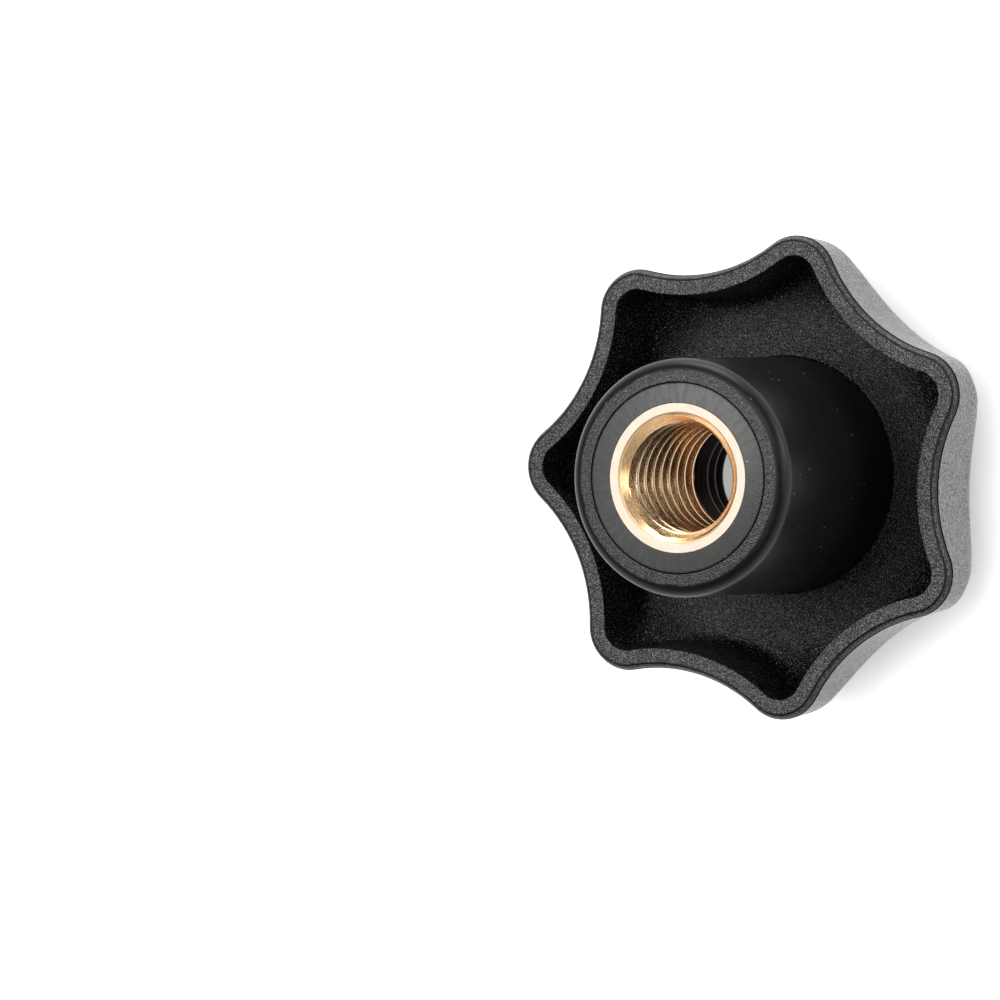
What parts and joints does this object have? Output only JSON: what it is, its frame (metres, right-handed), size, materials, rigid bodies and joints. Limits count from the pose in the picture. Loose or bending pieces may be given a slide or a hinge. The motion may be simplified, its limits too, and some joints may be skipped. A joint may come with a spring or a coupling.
{
  "type": "star knob",
  "caption": "Lobed hollow plastic hand knob with a long round hub, a moulded-in brass insert threaded right through, and a round recess in its grip face.",
  "frame": {"origin": "centre of the grip face, on the knob's axis; the knob lies on that face", "axes": "+Z along the knob's axis from the grip face to the hub end; +X through a lobe's tip"},
  "size_m": [0.0671, 0.0686, 0.0413],
  "materials": {
    "moulded_plastic": "black glass-filled moulding with a fine spark-eroded grain, smoother on the hub and in the recess",
    "insert_brass": "bright turned brass with a cut thread"
  },
  "bodies": {
    "root": {"knob_body": "moulded_plastic", "threaded_insert": "insert_brass"}
  },
  "joints": []
}
